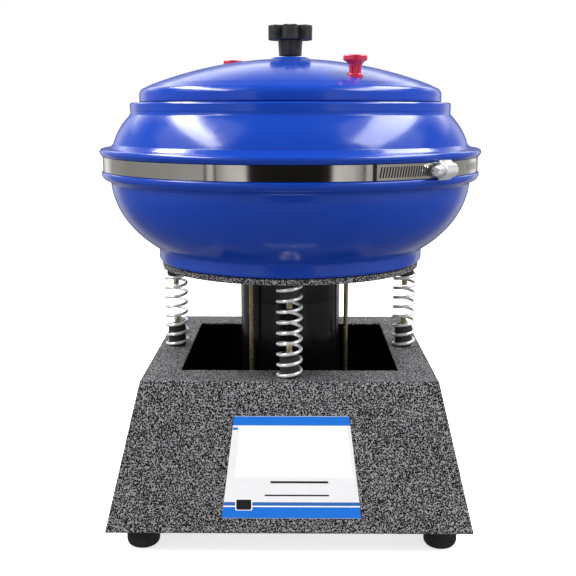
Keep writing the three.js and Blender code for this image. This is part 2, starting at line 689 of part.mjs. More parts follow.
// ---- star knob on its threaded insert ----
function starKnob() {
  const { radius, valley, lobes, low, head, top } = KNOB;
  const outline = Array.from({ length: lobes }, (_, i) => {
    const middle = -90 + (i * 360) / lobes;
    return [
      polar(valley, middle - 30),
      polar(radius - 1.2, middle - 19),
      polar(radius, middle - 15),
      polar(radius, middle - 3),
      polar(radius - 1.1, middle),
      polar(radius, middle + 3),
      polar(radius, middle + 15),
      polar(radius - 1.2, middle + 19),
    ];
  }).flat();
  const hub = turned([[0, low], [HUB.low, low], [HUB.top, head + 1], [0, head + 1]], 18);
  const socket = bar(INSERT.radius + CLEARANCE, low - 1, INSERT.high + CLEARANCE);
  return cut(join(raised(outline, head, top), hub), socket);
}
part(
  "knob_insert",
  tube(ROD.radius + 0.35, INSERT.radius, INSERT.low, INSERT.high, SMALL_ROUND),
  yellowZinc,
);
part("star_knob", starKnob(), blackPlastic);

export default root;
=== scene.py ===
import math

import bmesh
import bpy
from mathutils import Matrix, Vector


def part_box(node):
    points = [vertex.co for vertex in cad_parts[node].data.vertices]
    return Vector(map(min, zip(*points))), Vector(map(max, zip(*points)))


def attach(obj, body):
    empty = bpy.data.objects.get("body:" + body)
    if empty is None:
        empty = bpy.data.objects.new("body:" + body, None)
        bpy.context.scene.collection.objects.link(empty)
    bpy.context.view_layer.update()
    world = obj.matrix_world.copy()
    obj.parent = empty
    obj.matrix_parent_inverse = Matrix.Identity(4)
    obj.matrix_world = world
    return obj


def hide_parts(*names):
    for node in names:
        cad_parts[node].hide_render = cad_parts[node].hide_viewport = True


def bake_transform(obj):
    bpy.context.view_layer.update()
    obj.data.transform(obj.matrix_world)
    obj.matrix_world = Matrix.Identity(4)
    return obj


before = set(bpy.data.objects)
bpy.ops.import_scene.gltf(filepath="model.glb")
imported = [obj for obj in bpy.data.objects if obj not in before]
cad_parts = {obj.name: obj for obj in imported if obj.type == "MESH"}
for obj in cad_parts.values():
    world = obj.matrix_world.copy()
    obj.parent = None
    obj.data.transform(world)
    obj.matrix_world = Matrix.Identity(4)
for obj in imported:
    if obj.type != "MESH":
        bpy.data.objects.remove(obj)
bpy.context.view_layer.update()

MM = 0.001


# ---- node materials ----
class Look:
    """A Principled material whose inputs are set by node chains in the object's own space."""

    def __init__(self, name, color, roughness, metallic=0.0, **inputs):
        self.material = bpy.data.materials.new(name)
        self.material.use_nodes = True
        self.tree = self.material.node_tree
        self.shader = self.tree.nodes["Principled BSDF"]
        self.place = self.node("ShaderNodeTexCoord").outputs["Object"]
        self.set("Base Color", (*color, 1))
        self.set("Roughness", roughness)
        self.set("Metallic", metallic)
        for key, value in inputs.items():
            self.set(key.replace("_", " "), value)
        self.height = None

    def node(self, kind, inputs=None, **properties):
        made = self.tree.nodes.new(kind)
        for key, value in properties.items():
            setattr(made, key, value)
        for key, value in (inputs or {}).items():
            if isinstance(value, bpy.types.NodeSocket):
                self.tree.links.new(value, made.inputs[key])
            else:
                made.inputs[key].default_value = value
        return made

    def set(self, socket, value):
        if isinstance(value, bpy.types.NodeSocket):
            self.tree.links.new(value, self.shader.inputs[socket])
        else:
            self.shader.inputs[socket].default_value = value

    def stretched(self, x, y, z):
        return self.node("ShaderNodeMapping", {"Vector": self.place, "Scale": (x, y, z)}).outputs["Vector"]

    def noise(self, scale, detail=3.0, roughness=0.5, vector=None, distortion=0.0):
        inputs = {"Vector": vector or self.place, "Scale": scale, "Detail": detail, "Roughness": roughness}
        inputs["Distortion"] = distortion
        return self.node("ShaderNodeTexNoise", inputs).outputs["Fac"]

    def ramp(self, value, low, high, start=0.0, end=1.0):
        """value mapped from low..high to start..end, clamped."""
        inputs = {"Value": value, "From Min": low, "From Max": high, "To Min": start, "To Max": end}
        return self.node("ShaderNodeMapRange", inputs).outputs["Result"]

    def math(self, operation, a, b=0.0, c=0.0):
        return self.node("ShaderNodeMath", {0: a, 1: b, 2: c}, operation=operation).outputs[0]

    def mix(self, value, first, second):
        made = self.node("ShaderNodeMix", data_type="RGBA")
        for index, entry in ((0, value), (6, first), (7, second)):
            if isinstance(entry, bpy.types.NodeSocket):
                self.tree.links.new(entry, made.inputs[index])
            else:
                made.inputs[index].default_value = entry if index == 0 else (*entry, 1)
        return made.outputs[2]

    def bump(self, height, millimetres, strength=1.0):
        inputs = {"Height": height, "Distance": millimetres * MM, "Strength": strength}
        if self.height is not None:
            inputs["Normal"] = self.height
        self.height = self.node("ShaderNodeBump", inputs).outputs["Normal"]
        self.set("Normal", self.height)
        return self

    def vary(self, scale, low, high, detail=3.0):
        """Roughness that wanders between two values."""
        self.set("Roughness", self.ramp(self.noise(scale, detail), 0.3, 0.7, low, high))
        return self

    def tint(self, scale, first, second, detail=3.0):
        self.set("Base Color", self.mix(self.ramp(self.noise(scale, detail), 0.35, 0.65), first, second))
        return self


def blue_plastic():
    coat = {"Coat_Weight": 0.15, "Coat_Roughness": 0.08}
    look = Look("blue_plastic", (0.006, 0.047, 0.37), 0.2, Specular_IOR_Level=0.42, **coat)
    look.tint(9, (0.005, 0.044, 0.36), (0.008, 0.051, 0.385))
    look.vary(70, 0.15, 0.24)
    look.bump(look.noise(420, 2), 0.03, 0.3)
    scuff = look.noise(40, 6, 0.7, look.stretched(1, 1, 14))
    return look.bump(look.ramp(scuff, 0.64, 0.7), 0.02, 0.3)


def hammertone():
    """Light ridges that wind between near-black hollows, two or three millimetres apart."""
    look = Look("hammertone", (0.2, 0.2, 0.21), 0.35, 0.55, Specular_IOR_Level=0.2)
    cells = look.node("ShaderNodeTexVoronoi", {"Vector": look.place, "Scale": 820}).outputs["Distance"]
    worms = look.math("MULTIPLY_ADD", look.noise(1650, 0.0), 1.1, cells)
    patch = look.noise(90, 3)
    level = look.ramp(patch, 0.3, 0.7, 1.12, 1.2)
    ridge = look.math("SUBTRACT", worms, level)
    light = look.ramp(ridge, -0.02, 0.04)
    look.set("Base Color", look.mix(light, (0.002, 0.002, 0.0024), (0.41, 0.395, 0.415)))
    look.set("Roughness", look.ramp(light, 0, 1, 0.6, 0.36))
    look.set("Metallic", look.ramp(light, 0, 1, 0.05, 0.25))
    return look.bump(light, 0.08, 0.6)


# near-black: on the inside of the base's sheet, and as painted shadow in the strips on the clamp band
def dark_inside_and_shadow():
    look = Look("dark_inside_and_shadow", (0.006, 0.006, 0.006), 0.8)
    return look.tint(60, (0.004, 0.004, 0.004), (0.009, 0.009, 0.01)).bump(look.noise(500, 3), 0.05, 0.4)


def chrome():
    look = Look("chrome", (0.93, 0.93, 0.94), 0.16, 0.6)
    look.vary(160, 0.12, 0.22)
    return look.bump(look.noise(600, 2), 0.01, 0.3)


def stainless():
    look = Look("stainless", (0.64, 0.61, 0.57), 0.1, 1.0)
    grain = look.noise(30, 4, 0.6, look.stretched(1, 1, 90))
    look.set("Roughness", look.ramp(grain, 0.3, 0.7, 0.05, 0.12))
    look.tint(35, (0.62, 0.59, 0.55), (0.68, 0.65, 0.6))
    return look.bump(grain, 0.006, 0.3)


def yellow_zinc(threaded=True):
    look = Look("yellow_zinc", (0.46, 0.38, 0.2), 0.3, 0.9)
    look.tint(60, (0.42, 0.34, 0.19), (0.5, 0.43, 0.27))
    look.vary(300, 0.22, 0.4)
    return thread(look, 0.8) if threaded else look.bump(look.noise(600, 2), 0.01, 0.3)


def thread(look, pitch):
    """Ridges across the length of an upright screw, one for each pitch in millimetres."""
    unscaled_period = 2 * math.pi / 20
    inputs = {"Vector": look.place, "Scale": unscaled_period / (pitch * MM), "Distortion": 0.0}
    wave = look.node("ShaderNodeTexWave", inputs, wave_type="BANDS", bands_direction="Z")
    return look.bump(wave.outputs["Fac"], 0.25, 0.7)


def plain_steel(name="plain_steel", shade=0.5):
    look = Look(name, (shade, shade, shade), 0.3, 1.0)
    look.tint(120, (shade * 0.85,) * 3, (shade * 1.1,) * 3)
    look.vary(250, 0.22, 0.42)
    return look.bump(look.noise(90, 4, 0.6, look.stretched(1, 1, 20)), 0.02, 0.4)


def laminations():
    look = Look("laminations", (0.12, 0.12, 0.125), 0.5, 0.9)
    look.vary(200, 0.4, 0.6)
    return thread(look, 1.0)


def rubber():
    look = Look("black_rubber", (0.014, 0.014, 0.014), 0.7)
    look.tint(90, (0.01, 0.01, 0.01), (0.02, 0.02, 0.02))
    look.vary(150, 0.58, 0.8)
    return look.bump(look.noise(1200, 3), 0.05, 0.5)


def black_plastic():
    look = Look("black_plastic", (0.022, 0.022, 0.021), 0.38)
    look.tint(140, (0.018, 0.018, 0.017), (0.03, 0.03, 0.028))
    look.vary(220, 0.3, 0.46)
    return look.bump(look.noise(1500, 2), 0.04, 0.5)


def motor_paint():
    coat = {"Coat_Weight": 0.05, "Coat_Roughness": 0.05}
    look = Look("motor_paint", (0.004, 0.004, 0.0045), 0.12, Specular_IOR_Level=0.3, **coat)
    look.vary(90, 0.14, 0.26)
    return look.bump(look.noise(260, 3), 0.04, 0.35)


def red_anodised():
    look = Look("red_anodised", (0.62, 0.04, 0.09), 0.25, 0.35)
    look.tint(260, (0.58, 0.035, 0.08), (0.68, 0.05, 0.11))
    rings = look.noise(60, 2, 0.5, look.stretched(1, 1, 60))
    look.set("Roughness", look.ramp(rings, 0.3, 0.7, 0.2, 0.34))
    return look.bump(rings, 0.02, 0.4)


def vinyl(name, color):
    look = Look(name, color, 0.4)
    look.tint(200, tuple(c * 0.985 for c in color), tuple(min(1, c * 1.015) for c in color))
    look.vary(120, 0.34, 0.46)
    return look.bump(look.noise(800, 2), 0.01, 0.3)


def floor_paper():
    glow = {"Emission_Color": (1, 1, 1, 1), "Emission_Strength": 0.72}
    look = Look("floor_paper", (0.86, 0.86, 0.865), 0.7, **glow)
    return look.tint(6, (0.85, 0.85, 0.855), (0.87, 0.87, 0.875))


LOOKS = {}


def look_of(maker, *args):
    key = (maker.__name__, *args)
    if key not in LOOKS:
        LOOKS[key] = maker(*args).material
    return LOOKS[key]


# ---- mesh tools; sections and outlines are in millimetres ----
CORNERS = ((-1, -1), (1, -1), (1, 1), (-1, 1))


def rectangle(dx, dy, x=0.0, y=0.0):
    return [(x + sx * dx / 2, y + sy * dy / 2) for sx, sy in CORNERS]


def arc(r, z, rx, rz, start, end, steps):
    """Points of an elliptical arc, angles in degrees."""
    angles = (math.radians(start + (end - start) * i / steps) for i in range(steps + 1))
    return [(r + rx * math.cos(a), z + rz * math.sin(a)) for a in angles]


def eased(points, radius, closed):
    """The outline with its sharp corners rounded."""
    nearly_straight = 2.75
    out = []
    count = len(points)
    for i, point in enumerate(points):
        here = Vector(point)
        if not closed and i in (0, count - 1):
            out.append(here)
            continue
        back = Vector(points[i - 1]) - here
        ahead = Vector(points[(i + 1) % count]) - here
        corner = back.angle(ahead, math.pi)
        if corner > nearly_straight:
            out.append(here)
            continue
        reach = min(radius / math.tan(corner / 2), 0.45 * back.length, 0.45 * ahead.length)
        a, b = here + back.normalized() * reach, here + ahead.normalized() * reach
        for step in range(5):
            t = step / 4
            out.append(a * (1 - t) ** 2 + here * 2 * t * (1 - t) + b * t**2)
    return [tuple(p) for p in out]


def mesh_object(name, mesh_data, look, smooth=35):
    mesh = bpy.data.meshes.new(name)
    bmesh.ops.remove_doubles(mesh_data, verts=mesh_data.verts, dist=1e-6)
    bmesh.ops.recalc_face_normals(mesh_data, faces=mesh_data.faces)
    mesh_data.to_mesh(mesh)
    mesh_data.free()
    mesh.shade_smooth()
    mesh.set_sharp_from_angle(angle=math.radians(smooth))
    obj = bpy.data.objects.new(name, mesh)
    bpy.context.scene.collection.objects.link(obj)
    mesh.materials.append(look)
    return obj


def lathe(name, section, look, closed=True, ease=0.6, steps=144, at=(0, 0), base=0.0, shape=None):
    """A turned piece. shape(angle, r, z) may change the radius round the piece."""
    points = eased(section, ease, closed)
    data = bmesh.new()
    rings = []
    for r, z in points:
        height = z * MM + base
        if r < 1e-6:
            rings.append([data.verts.new((at[0], at[1], height))] * steps)
            continue
        ring = []
        for i in range(steps):
            angle = 2 * math.pi * i / steps
            radius = (shape(angle, r, z) if shape else r) * MM
            x, y = at[0] + radius * math.cos(angle), at[1] + radius * math.sin(angle)
            ring.append(data.verts.new((x, y, height)))
        rings.append(ring)
    pairs = list(zip(rings, rings[1:] + rings[:1])) if closed else list(zip(rings, rings[1:]))
    for low, high in pairs:
        for i in range(steps):
            j = (i + 1) % steps
            corners = []
            for vert in (low[i], low[j], high[j], high[i]):
                if vert not in corners:
                    corners.append(vert)
            if len(corners) > 2:
                data.faces.new(corners)
    return mesh_object(name, data, look)


def prism(name, outline, low, high, look, place=None, bevel=0.0, smooth=35):
    """A flat outline raised between two heights, in millimetres, then put in place."""
    data = bmesh.new()
    bottom = [data.verts.new((x * MM, y * MM, low * MM)) for x, y in outline]
    top = [data.verts.new((x * MM, y * MM, high * MM)) for x, y in outline]
    data.faces.new(bottom)
    data.faces.new(top)
    for i in range(len(outline)):
        j = (i + 1) % len(outline)
        data.faces.new((bottom[i], bottom[j], top[j], top[i]))
    if place is not None:
        data.transform(place)
    obj = mesh_object(name, data, look, smooth)
    return softened(obj, bevel) if bevel else obj


def slab(name, x, y, z, dx, dy, dz, look, place=None, bevel=0.0):
    return prism(name, rectangle(dx, dy, x, y), z - dz / 2, z + dz / 2, look, place, bevel)


def softened(obj, width, segments=3, angle=35):
    """Rounds the sharp edges of a piece."""
    bevel = obj.modifiers.new("soft_edges", "BEVEL")
    bevel.width = width * MM
    bevel.segments = segments
    bevel.limit_method = "ANGLE"
    bevel.angle_limit = math.radians(angle)
    bevel.harden_normals = True
    return obj


def baked(obj):
    """The piece with its modifiers applied."""
    bpy.context.view_layer.update()
    done = bpy.data.meshes.new_from_object(obj.evaluated_get(bpy.context.evaluated_depsgraph_get()))
    obj.modifiers.clear()
    obj.data = done
    return obj


def carved(obj, cutters, smooth=35):
    """The piece with its cutters taken out and its crisp edges kept."""
    for cutter in cutters:
        tool = obj.modifiers.new("carve", "BOOLEAN")
        tool.operation = "DIFFERENCE"
        tool.solver = "EXACT"
        tool.object = cutter
    baked(obj)
    for cutter in cutters:
        bpy.data.objects.remove(cutter)
    obj.data.shade_smooth()
    obj.data.set_sharp_from_angle(angle=math.radians(smooth))
    return obj


def put(obj, body, material_slot, *nodes):
    """The piece rides on a body and stands for CAD nodes; the finish slot's name it is given is not used.
    """
    if nodes:
        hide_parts(*nodes)
    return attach(obj, body)


def dress(node, look, bevel=0.0):
    """A CAD node that stays gets a material, and softened edges."""
    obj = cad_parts[node]
    obj.data.materials.clear()
    obj.data.materials.append(look)
    if bevel:
        softened(obj, bevel, 2)
    return obj


def centre(node):
    low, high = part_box(node)
    return [(low[i] + high[i]) / 2 for i in range(3)]


# ---- heights and places, from the frame ----
DECK = float(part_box("base_housing")[1][2])
FLOOR_TO_BASE = float(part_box("base_housing")[0][2])
PLACES = ("front", "right", "back", "left")


def bottom_of(node):
    """Height of a piece's underside above the base's top, in millimetres."""
    return (float(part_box(node)[0][2]) - DECK) / MM


def top_of(node):
    """Height of a piece's top above the base's top, in millimetres."""
    return (float(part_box(node)[1][2]) - DECK) / MM


def tube(inner, outer, low, high):
    """The section of a plain ring."""
    return [(inner, low), (outer, low), (outer, high), (inner, high)]


def on_deck(name, section, look, **options):
    """A turned piece whose heights are measured from the base's top."""
    return lathe(name, section, look, base=DECK, **options)


# ---- base ----
HALF_LOW = float(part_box("base_housing")[1][0]) / MM
HEIGHT = (DECK - FLOOR_TO_BASE) / MM
HALF_TOP = 120.0
HALF_RETURN = 102.0  # the inner edge of the skin where it is folded in at the bottom
HALF_WELL = (90.5, 87.0)  # the opening that the motor hangs in
SHEET = 2.0
SLOPE = math.atan2(HALF_LOW - HALF_TOP, HEIGHT)


def panel(height, across, back=False):
    """Frame on the front or back face: x to the right as the face is seen, y up the slope, z out."""
    side = -1 if back else 1
    half = HALF_LOW + (HALF_TOP - HALF_LOW) * height / HEIGHT
    x_axis = Vector((side, 0, 0))
    z_axis = Vector((0, -side * math.cos(SLOPE), math.sin(SLOPE)))
    y_axis = z_axis.cross(x_axis)
    placed = Matrix((x_axis, y_axis, z_axis)).transposed().to_4x4()
    placed.translation = Vector((side * across * MM, -side * half * MM, FLOOR_TO_BASE + height * MM))
    return placed


SOCKET_HEIGHT, SOCKET_ACROSS = 42, 55
INLET = panel(SOCKET_HEIGHT, -SOCKET_ACROSS, True)
SWITCH = panel(SOCKET_HEIGHT, SOCKET_ACROSS, True)
INLET_HOLE, SWITCH_HOLE = (28.2, 20.6), (13.4, 19.8)


def housing():
    """The tapered skin: one folded sheet with two cut-outs in the back."""
    data = bmesh.new()

    def ring(half_x, half_y, z):
        return [data.verts.new((sx * half_x * MM, sy * half_y * MM, z)) for sx, sy in CORNERS]

    rings = [
        ring(HALF_RETURN, HALF_RETURN, FLOOR_TO_BASE),
        ring(HALF_LOW, HALF_LOW, FLOOR_TO_BASE),
        ring(HALF_TOP, HALF_TOP, DECK),
        ring(*HALF_WELL, DECK),
    ]
    for low, high in zip(rings, rings[1:]):
        for i in range(4):
            data.faces.new((low[i], low[(i + 1) % 4], high[(i + 1) % 4], high[i]))
    obj = mesh_object("base_skin", data, look_of(hammertone), 20)
    obj.data.materials.append(look_of(dark_inside_and_shadow))
    skin = obj.modifiers.new("sheet", "SOLIDIFY")
    skin.thickness = SHEET * MM
    skin.offset = -1
    skin.use_even_offset = True
    skin.material_offset = 1
    baked(obj)
    through = 6 * SHEET
    holes = [
        slab("inlet_hole", 0, 0, 0, *INLET_HOLE, through, look_of(dark_inside_and_shadow), INLET),
        slab("switch_hole", 0, 0, 0, *SWITCH_HOLE, through, look_of(dark_inside_and_shadow), SWITCH),
    ]
    carved(obj, holes, 20)
    return softened(obj, 0.9, 3, 30)


put(housing(), "base", "hammertone_paint", "base_housing")
dress("bottom_cover", look_of(hammertone), 0.3)

FOOT = {"radius": 13.5, "round": 6.0, "height": 18.7, "groove": 5.4}
FOOT_STUD = {"radius": 3, "nut": 5.5, "nut_low": 22.7, "nut_high": 27.7, "tip": 31}


def foot_section():
    """A rounded foot with a ring-shaped groove underneath."""
    radius, bend, height, groove = FOOT.values()
    return [
        (0, 0),
        (2.6, 0),
        (3.2, 1.6),
        (groove, 1.6),
        (6, 0.1),
        *arc(radius - bend, bend, bend, bend, -88, 0, 12),
        (radius, height),
        (0, height),
    ]


def foot_stud_section():
    radius, nut, low, high, tip = FOOT_STUD.values()
    root = FOOT["height"] + 0.1
    below = [(0, root), (radius, root), (radius, low), (nut, low)]
    above = [(nut, high), (radius, high), (radius, tip - 0.5), (0, tip)]
    return below + above


for name in ("front_left", "front_right", "back_left", "back_right"):
    x, y, _ = centre(f"foot_{name}")
    turned = {"closed": False, "at": (x, y)}
    foot = lathe(f"rubber_foot_{name}", foot_section(), look_of(rubber), steps=64, **turned)
    put(foot, "base", "black_rubber", f"foot_{name}")
    section, steel = foot_stud_section(), look_of(plain_steel)
    stud = lathe(f"foot_stud_{name}", section, steel, ease=0.3, steps=24, **turned)
    put(stud, "base", "plain_steel")


# ---- label: plain colour bands, with no lettering ----
# widths at its top and bottom, height, distance below the base's top edge, shift to the right
LABEL = {"top": 92.0, "bottom": 111.0, "height": 81.0, "from_top": 27.7, "across": 2}
LABEL_BACK, LABEL_FACE = 0.3, 0.7  # heights above the base's front face
INK = 0.02


def label():
    top, bottom, height, from_top, across = LABEL.values()
    place = panel(HEIGHT - from_top * math.cos(SLOPE), across)

    def outline(high, low, left=0.0, right=1.0):
        """The part of the label between two heights and two shares of its width."""
        corners = ((low, left), (low, right), (high, right), (high, left))
        return [((top + (bottom - top) * -y / height) * (share - 0.5), y) for y, share in corners]

    def printed(name, shape, look, lift, where=place):
        """A flat patch of colour; a greater lift lies over a smaller one."""
        patch = prism(name, shape, LABEL_FACE - INK + lift, LABEL_FACE + lift, look, where)
        put(patch, "base", "label_vinyl")

    white = look_of(vinyl, "label_white", (0.98, 0.98, 0.98))
    grey = look_of(vinyl, "label_grey", (0.84, 0.83, 0.845))
    blue = look_of(vinyl, "label_blue", (0.005, 0.16, 0.66))
    deep = look_of(vinyl, "label_deep_blue", (0.025, 0.13, 0.42))
    black = look_of(vinyl, "label_black", (0.012, 0.012, 0.014))
    sheet = prism("label_sheet", outline(0, -height), LABEL_BACK, LABEL_FACE, grey, place, 0.08)
    put(sheet, "base", "label_vinyl", "front_label")
    printed("label_top_band", outline(-0.2, -7.4), blue, INK)
    printed("label_tick", outline(-9.0, -11.0, 0.003, 0.045), blue, INK)
    printed("label_panel", outline(-8.0, -48.5, 0.062, 0.97), white, INK)
    printed("label_stripe", outline(-68.2, -71.0), deep, INK)
    printed("label_line", outline(-71.0, -72.0), white, INK)
    printed("label_foot_band", outline(-72.0, -height + 0.2), blue, INK)
    printed("label_rule_1", outline(-51.5, -53.2, 0.34, 0.78), black, 1.5 * INK)
    printed("label_rule_2", outline(-58.6, -59.4, 0.26, 0.82), grey, 1.5 * INK)
    printed("label_rule_3", outline(-62.2, -63.4, 0.3, 0.78), black, 1.5 * INK)
    badge = eased(rectangle(13.6, 9.2), 1.4, True)
    corner = place @ Matrix.Translation((-38 * MM, -70.2 * MM, 0))
    printed("label_badge_rim", badge, white, 2 * INK, corner)
    printed("label_badge", [(x * 0.88, y * 0.88) for x, y in badge], black, 3 * INK, corner)


label()


# ---- inlet and switch on the back ----
INLET_MOUTH = (24, 16.4)
INLET_WALL = 20.0  # depth of the hollow behind the flange


def inlet():
    """A flange with clipped upper corners, a box behind it and three blades."""
    outer = [(-15.8, -12), (15.8, -12), (15.8, 9), (11.5, 12), (-11.5, 12), (-15.8, 9)]
    plastic = look_of(black_plastic)
    flange = prism("inlet_flange", outer, 0.3, 2.3, plastic, INLET)
    flange = carved(flange, [slab("inlet_mouth", 0, 0, 2, *INLET_MOUTH, 12, plastic, INLET)])
    put(softened(flange, 0.5), "base", "black_plastic", "power_inlet")
    shell = prism("inlet_shell", rectangle(27.6, 20), -21.7, 0.25, plastic, INLET)
    hollow = slab("inlet_cavity", 0, 0, 2.3 - INLET_WALL / 2, *INLET_MOUTH, INLET_WALL, plastic, INLET)
    put(softened(carved(shell, [hollow]), 0.3), "base", "black_plastic")
    for i, (x, y) in enumerate(((-7, -2), (0, 2), (7, -2))):
        blade = slab(f"inlet_blade_{i + 1}", x, y, -11.2, 2, 4, 12, look_of(plain_steel), INLET, 0.4)
        put(blade, "base", "plain_steel")


inlet()
dress("switch_body", look_of(black_plastic), 0.4)
dress("switch_rocker", look_of(black_plastic), 0.4)


# ---- springs, bumpers and studs ----
PLATE_LOW, PLATE_TOP = bottom_of("platform_plate"), top_of("platform_plate")
WIRE, COIL = 1.4, 9.4  # radii of the spring's wire and of its coil
END_TURNS, ACTIVE_TURNS = 0.25, 8.25
SPRING_START = 0.41  # bearing of the lower end, in turns


def spring(name, x, y):
    """A round wire wound up to the right, with flattened ends."""
    low = WIRE + 0.1
    end_pitch = 2 * WIRE + 0.2
    rise = PLATE_LOW - 2 * low - 2 * END_TURNS * end_pitch
    turns = 2 * END_TURNS + ACTIVE_TURNS
    steps, sides = int(turns * 36), 12
    data = bmesh.new()
    rings = []
    for i in range(steps + 1):
        turn = turns * i / steps
        working = min(max(turn - END_TURNS, 0), ACTIVE_TURNS)
        z = low + (turn - working) * end_pitch + working / ACTIVE_TURNS * rise
        angle = 2 * math.pi * (turn + SPRING_START)
        out = Vector((math.cos(angle), math.sin(angle), 0))
        wire = WIRE * (1 - 0.18 * max(0, 1 - min(i, steps - i) / 4))
        ring = []
        for j in range(sides):
            a = 2 * math.pi * j / sides
            point = out * (COIL + wire * math.cos(a)) + Vector((0, 0, z + wire * math.sin(a)))
            ring.append(data.verts.new((x + point.x * MM, y + point.y * MM, DECK + point.z * MM)))
        rings.append(ring)
    for first, second in zip(rings, rings[1:]):
        for j in range(sides):
            k = (j + 1) % sides
            data.faces.new((first[j], first[k], second[k], second[j]))
    data.faces.new(rings[0])
    data.faces.new(rings[-1])
    return mesh_object(name, data, look_of(chrome), 50)


PLUG, PLUG_TIP, PLUG_WAIST, PLUG_BORE = 7.85, 6.8, 7.5, 2.9  # radii
SCREW, SCREW_TIP, SCREW_HEAD = 2.5, 1.9, 4.6  # radii
CHAMFER, HEAD_HEIGHT = 0.8, 2.8


def screw(name, low, high, head_up, at):
    """A flat-headed screw between two heights, with a chamfered tip."""
    head, tip = (high, low) if head_up else (low, high)
    up = 1 if head_up else -1
    section = [
        (0, tip),
        (SCREW_TIP, tip),
        (SCREW, tip + up * CHAMFER),
        (SCREW, head - up * HEAD_HEIGHT),
        (SCREW_HEAD, head - up * HEAD_HEIGHT),
        (SCREW_HEAD, head),
        (0, head),
    ]
    if not head_up:
        section.reverse()
    return on_deck(name, section, look_of(yellow_zinc), closed=False, ease=0.3, steps=40, at=at)


def station(place):
    """One spring with a rubber plug and a screw in each end."""
    x, y, _ = centre(f"lower_stud_{place}")
    if place in ("front", "back"):
        x = 0.0
    else:
        y = 0.0
    coil = spring(f"coil_spring_{place}", x, y)
    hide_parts(f"spring_{place}")
    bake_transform(coil)
    turned = {"steps": 48, "at": (x, y)}

    low, top = 0.1, top_of(f"lower_bumper_{place}")
    section = [
        (PLUG_BORE, low),
        (PLUG, low),
        (PLUG, 4),
        (PLUG_WAIST, 5.5),
        (PLUG, 7),
        (PLUG, top - 1.5),
        (PLUG_TIP, top),
        (PLUG_BORE, top),
    ]
    lower = on_deck(f"lower_plug_{place}", section, look_of(rubber), **turned)
    put(lower, "base", "black_rubber", f"lower_bumper_{place}")

    tip, root = bottom_of(f"upper_bumper_{place}"), top_of(f"upper_bumper_{place}")
    section = [(PLUG_BORE, tip), (PLUG_TIP, tip), (PLUG, tip + 1.5), (PLUG, root), (PLUG_BORE, root)]
    upper = on_deck(f"upper_plug_{place}", section, look_of(rubber), **turned)
    put(upper, "platform", "black_rubber", f"upper_bumper_{place}")

    for level, body, head_up in (("lower", "base", False), ("upper", "platform", True)):
        node = f"{level}_stud_{place}"
        bolt = screw(f"{level}_screw_{place}", bottom_of(node), top_of(node), head_up, (x, y))
        put(bolt, body, "yellow_zinc", node)


for place in PLACES:
    station(place)

# ---- platform, motor and its tie rods ----
PLATE_RADIUS, PLATE_BORE = 115, 3.3


def drill(x, y, radius, low, high):
    """A cutter for one hole."""
    outline = [(0, low), (radius, low), (radius, high), (0, high)]
    options = {"closed": False, "ease": 0.01, "steps": 32, "at": (x, y)}
    return on_deck("hole", outline, look_of(hammertone), **options)


def tie_bolt(place, x, y):
    """A long bolt with a flush head in the platform and a nut under the motor."""
    head, tip = top_of(f"tie_rod_{place}"), bottom_of(f"tie_rod_{place}")
    shank, wide, nut_low, nut_high = 2, 3.6, tip + 2, tip + 5.2
    section = [
        (0, tip),
        (shank, tip),
        (shank, nut_low),
        (wide, nut_low),
        (wide, nut_high),
        (shank, nut_high),
        (shank, head - 2.4),
        (wide, head - 2.4),
        (wide, head),
        (0, head),
    ]
    options = {"closed": False, "ease": 0.25, "steps": 32, "at": (x, y)}
    bolt = on_deck(f"tie_bolt_{place}", section, look_of(yellow_zinc, False), **options)
    put(bolt, "platform", "yellow_zinc", f"tie_rod_{place}")


def platform():
    """The round plate, with stepped holes for the springs' screws and the motor's tie rods."""
    section = tube(PLATE_BORE, PLATE_RADIUS, PLATE_LOW, PLATE_TOP)
    plate = on_deck("round_platform", section, look_of(hammertone), ease=1.0, steps=192)
    holes = []
    for place in PLACES:
        x, y, _ = centre(f"upper_stud_{place}")
        holes.append(drill(x, y, SCREW_HEAD + 0.4, PLATE_TOP - 3.2, PLATE_TOP + 1))
        holes.append(drill(x, y, SCREW + 0.3, PLATE_LOW - 1, PLATE_TOP))
    for place in ("front", "right", "back"):
        x, y, _ = centre(f"tie_rod_{place}")
        holes.append(drill(x, y, 4, PLATE_TOP - 2.8, PLATE_TOP + 1))
        holes.append(drill(x, y, 2.4, PLATE_LOW - 1, PLATE_TOP))
        tie_bolt(place, x, y)
    put(carved(plate, holes), "platform", "hammertone_paint", "platform_plate")


CAN, CAN_BORE = 45, 41.5  # radii of the motor's can
CAN_LOW, CAN_TOP = -45, 47.35
CAP_WALL = 10


def motor():
    """A can and a cap; the pieces inside and the bottom cap keep their CAD shapes."""
    inside, top = top_of("motor_top_cap") - CAP_WALL, top_of("motor_top_cap")
    seat, collar, collar_low = 16.3, 20, inside - 9
    cap = on_deck(
        "motor_cap",
        [
            (0, inside),
            (seat, inside),
            (seat, collar_low),
            (collar, collar_low),
            (collar, inside),
            (CAN_BORE, inside),
            (CAN_BORE, CAN_TOP + 0.1),
            (CAN, CAN_TOP + 0.1),
            (CAN, top),
            (0, top),
        ],
        look_of(motor_paint),
        closed=False,
        ease=0.25,
    )
    put(cap, "platform", "motor_paint", "motor_top_cap")
    can = on_deck("motor_can", tube(CAN_BORE, CAN, CAN_LOW, CAN_TOP), look_of(motor_paint), ease=0.25)
    put(can, "platform", "motor_paint", "motor_housing")
    dress("motor_bottom_cap", look_of(motor_paint), 0.5)
    for node in ("stator", "rotor_core"):
        dress(node, look_of(laminations))
    bearings = ("upper_bearing", "lower_bearing")
    for node in (*bearings, "motor_shaft", "eccentric_weight_upper", "eccentric_weight_lower"):
        dress(node, look_of(plain_steel), 0.4)


platform()
motor()

